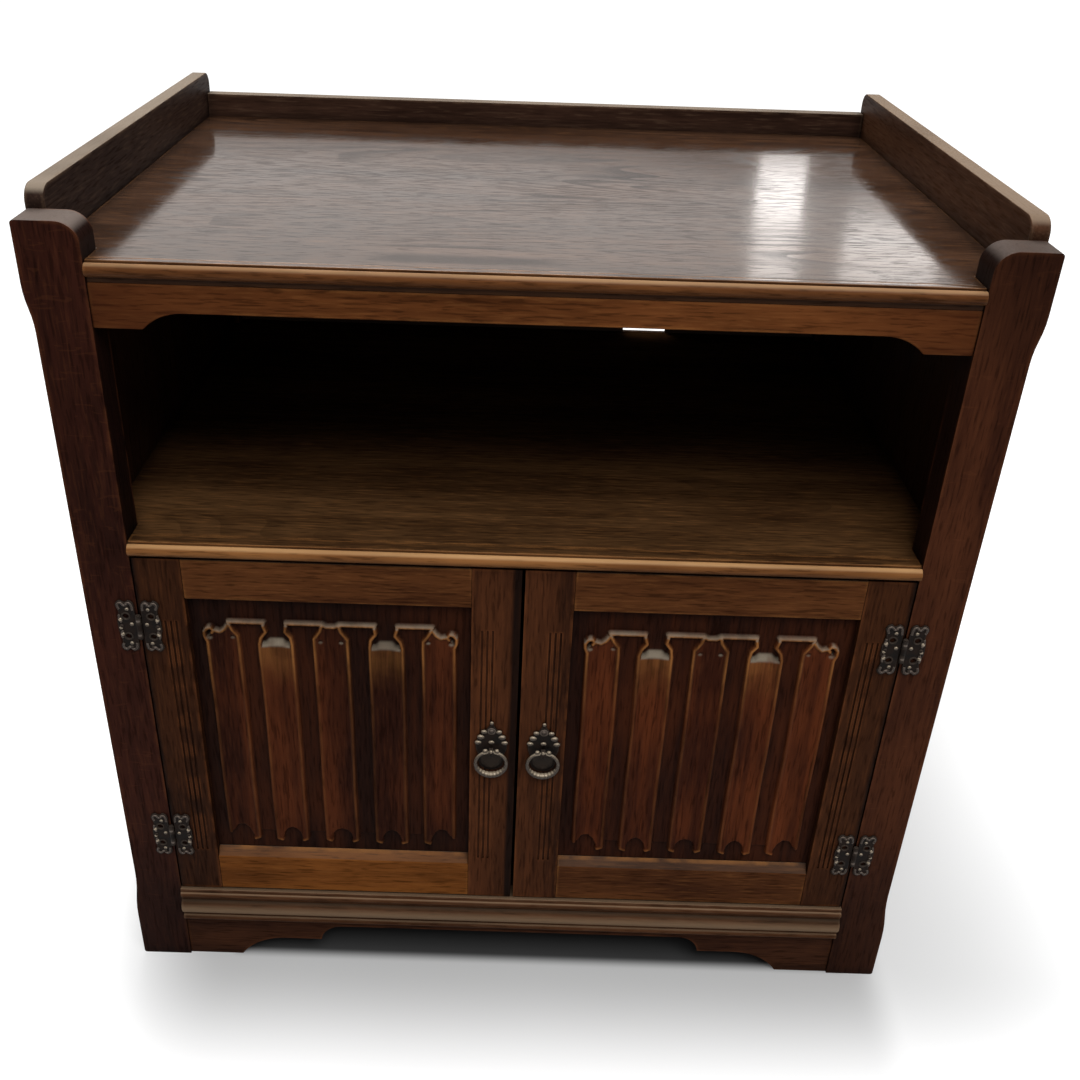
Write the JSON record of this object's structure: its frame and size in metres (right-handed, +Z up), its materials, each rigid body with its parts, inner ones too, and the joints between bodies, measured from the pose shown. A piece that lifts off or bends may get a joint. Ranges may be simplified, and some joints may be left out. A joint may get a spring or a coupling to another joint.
{
  "type": "side cabinet",
  "caption": "Oak side cabinet with an open compartment over a cupboard closed by hinged linenfold doors with ring pulls, under a galleried top on a shaped plinth.",
  "frame": {"origin": "on the floor, in the middle of the overall width and depth", "axes": "+Z up, front faces -Y, +X to the right seen from the front"},
  "size_m": [0.81, 0.5634, 0.849],
  "materials": {
    "oak": "stained and waxed oak, satin",
    "dark_oak": "dark stained oak, satin",
    "back_sheet": "stained board, matt",
    "blackened_iron": "blackened, dull",
    "steel": "plain",
    "catch_plastic": "brown, matt"
  },
  "bodies": {
    "carcass": {"back_bottom_rail": "oak", "back_gallery_rail": "oak", "back_top_rail": "oak", "base_apron": "oak", "base_board": "oak", "corner_blocks": "oak", "left_door_catch": "catch_plastic", "left_front_post": "dark_oak", "left_gallery_rail": "oak", "left_hinge_pins": "steel", "left_lower_hinge_post_leaf": "blackened_iron", "left_post_hinge_nails": "blackened_iron", "left_rear_stile": "oak", "left_side_panel": "oak", "left_upper_hinge_post_leaf": "blackened_iron", "lower_back_panel": "back_sheet", "plinth_moulding": "oak", "right_door_catch": "catch_plastic", "right_front_post": "dark_oak", "right_gallery_rail": "oak", "right_hinge_pins": "steel", "right_lower_hinge_post_leaf": "blackened_iron", "right_post_hinge_nails": "blackened_iron", "right_rear_stile": "oak", "right_side_panel": "oak", "right_upper_hinge_post_leaf": "blackened_iron", "shelf_board": "oak", "shelf_front_moulding": "oak", "top_apron_rail": "oak", "top_board": "oak", "top_front_moulding": "oak", "upper_back_panel": "back_sheet"},
    "left_door": {"left_door_bottom_rail": "oak", "left_door_hinge_nails": "blackened_iron", "left_door_hinge_stile": "dark_oak", "left_door_meeting_stile": "dark_oak", "left_door_top_rail": "oak", "left_linenfold_panel": "dark_oak", "left_lower_hinge_door_leaf": "blackened_iron", "left_pull_backplate": "blackened_iron", "left_pull_eye": "blackened_iron", "left_pull_nut": "steel", "left_strike_plate": "steel", "left_upper_hinge_door_leaf": "blackened_iron"},
    "right_door": {"right_door_bottom_rail": "oak", "right_door_hinge_nails": "blackened_iron", "right_door_hinge_stile": "dark_oak", "right_door_meeting_stile": "dark_oak", "right_door_top_rail": "oak", "right_linenfold_panel": "dark_oak", "right_lower_hinge_door_leaf": "blackened_iron", "right_pull_backplate": "blackened_iron", "right_pull_eye": "blackened_iron", "right_pull_nut": "steel", "right_strike_plate": "steel", "right_upper_hinge_door_leaf": "blackened_iron"},
    "left_ring": {"left_drop_ring": "blackened_iron"},
    "right_ring": {"right_drop_ring": "blackened_iron"}
  },
  "joints": [
    {"name": "left_door_hinge", "type": "hinge", "parent": "carcass", "child": "left_door", "pos_m": [-0.35275, -0.27385, 0.317], "axis": [0, 0, -1], "range_deg": [0, 160]},
    {"name": "left_ring_swing", "type": "hinge", "parent": "left_door", "child": "left_ring", "pos_m": [-0.0255, -0.27725, 0.314], "axis": [-1, 0, 0], "range_deg": [0, 120]},
    {"name": "right_door_hinge", "type": "hinge", "parent": "carcass", "child": "right_door", "pos_m": [0.35275, -0.27385, 0.317], "axis": [0, 0, 1], "range_deg": [0, 160]},
    {"name": "right_ring_swing", "type": "hinge", "parent": "right_door", "child": "right_ring", "pos_m": [0.0255, -0.27725, 0.314], "axis": [-1, 0, 0], "range_deg": [0, 120]}
  ]
}
